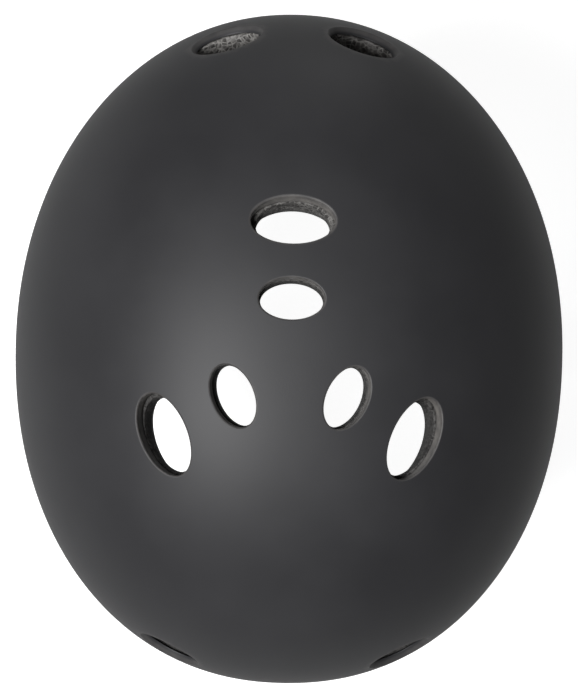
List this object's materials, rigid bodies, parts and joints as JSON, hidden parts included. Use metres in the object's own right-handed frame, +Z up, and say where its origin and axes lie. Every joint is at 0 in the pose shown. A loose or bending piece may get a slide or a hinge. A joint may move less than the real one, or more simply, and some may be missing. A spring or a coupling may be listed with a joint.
{
  "type": "skateboard helmet",
  "caption": "Round hard-shell skateboard helmet with oval vents, foam liner, comfort pads and an unbuckled webbing chin strap with side-release buckle.",
  "frame": {"origin": "centre of the head cavity, level with the widest section of the shell, where the head holds the helmet", "axes": "+Z up, the wearer faces -Y, +X is the wearer's left"},
  "size_m": [0.218, 0.2665, 0.3122],
  "materials": {
    "shell": "moulded ABS with a soft matte coat",
    "foam": "moulded expanded polystyrene beads",
    "pad_cloth": "brushed knit over soft foam",
    "hook_nylon": "nylon hook tape",
    "webbing": "woven polyester webbing",
    "moulding": "moulded acetal, satin",
    "rivet": "black enamelled",
    "washer": "zinc plated"
  },
  "bodies": {
    "helmet": {"outer_shell": "shell", "foam_liner": "foam", "brow_pad": "pad_cloth", "nape_pad": "pad_cloth", "left_side_pad": "pad_cloth", "right_side_pad": "pad_cloth", "left_crown_pad": "pad_cloth", "right_crown_pad": "pad_cloth", "rear_crown_pad": "pad_cloth", "hook_patches": "hook_nylon", "strap_rivets": "rivet", "rivet_washers": "washer", "left_front_strap_end": "webbing", "left_rear_strap_end": "webbing", "right_front_strap_end": "webbing", "right_rear_strap_end": "webbing"},
    "left_strap": {"left_front_strap": "webbing", "left_rear_strap": "webbing", "left_divider": "moulding"},
    "right_strap": {"right_front_strap": "webbing", "right_rear_strap": "webbing", "right_divider": "moulding"},
    "left_chin": {"left_chin_strap": "webbing", "buckle_socket": "moulding"},
    "right_chin": {"right_chin_strap": "webbing", "buckle_plug": "moulding"},
    "front_latch": {"front_latch_arm": "moulding"},
    "rear_latch": {"rear_latch_arm": "moulding"},
    "keeper": {"strap_keeper": "moulding"}
  },
  "joints": [
    {"name": "left_strap_swing", "type": "hinge", "parent": "helmet", "child": "left_strap", "pos_m": [0.09215, -0.003, -0.04074], "axis": [0, -0.9632, 0.2689], "range_deg": [-10, 80]},
    {"name": "right_strap_swing", "type": "hinge", "parent": "helmet", "child": "right_strap", "pos_m": [-0.09215, -0.003, -0.04074], "axis": [0, 0.9632, -0.2689], "range_deg": [-10, 80]},
    {"name": "left_chin_fold", "type": "hinge", "parent": "left_strap", "child": "left_chin", "pos_m": [0.09215, 0, -0.12575], "axis": [0, -1, 0], "range_deg": [-48, 45]},
    {"name": "right_chin_fold", "type": "hinge", "parent": "right_strap", "child": "right_chin", "pos_m": [-0.09215, 0, -0.12575], "axis": [0, 1, 0], "range_deg": [-48, 45]},
    {"name": "front_latch_squeeze", "type": "hinge", "parent": "right_chin", "child": "front_latch", "pos_m": [-0.09215, -0.0104, -0.18225], "axis": [1, 0, 0], "range_deg": [0, 9], "stiffness_Nm_per_rad": 0.02},
    {"name": "rear_latch_squeeze", "type": "hinge", "parent": "right_chin", "child": "rear_latch", "pos_m": [-0.09215, 0.0104, -0.18225], "axis": [-1, 0, 0], "range_deg": [0, 9], "stiffness_Nm_per_rad": 0.02},
    {"name": "keeper_slide", "type": "slide", "parent": "right_chin", "child": "keeper", "axis": [0, 0, 1], "range_m": [-0.003, 0.017]}
  ],
  "couplings": [
    {"joint": "rear_latch_squeeze", "follows": "front_latch_squeeze", "ratio": 1}
  ]
}
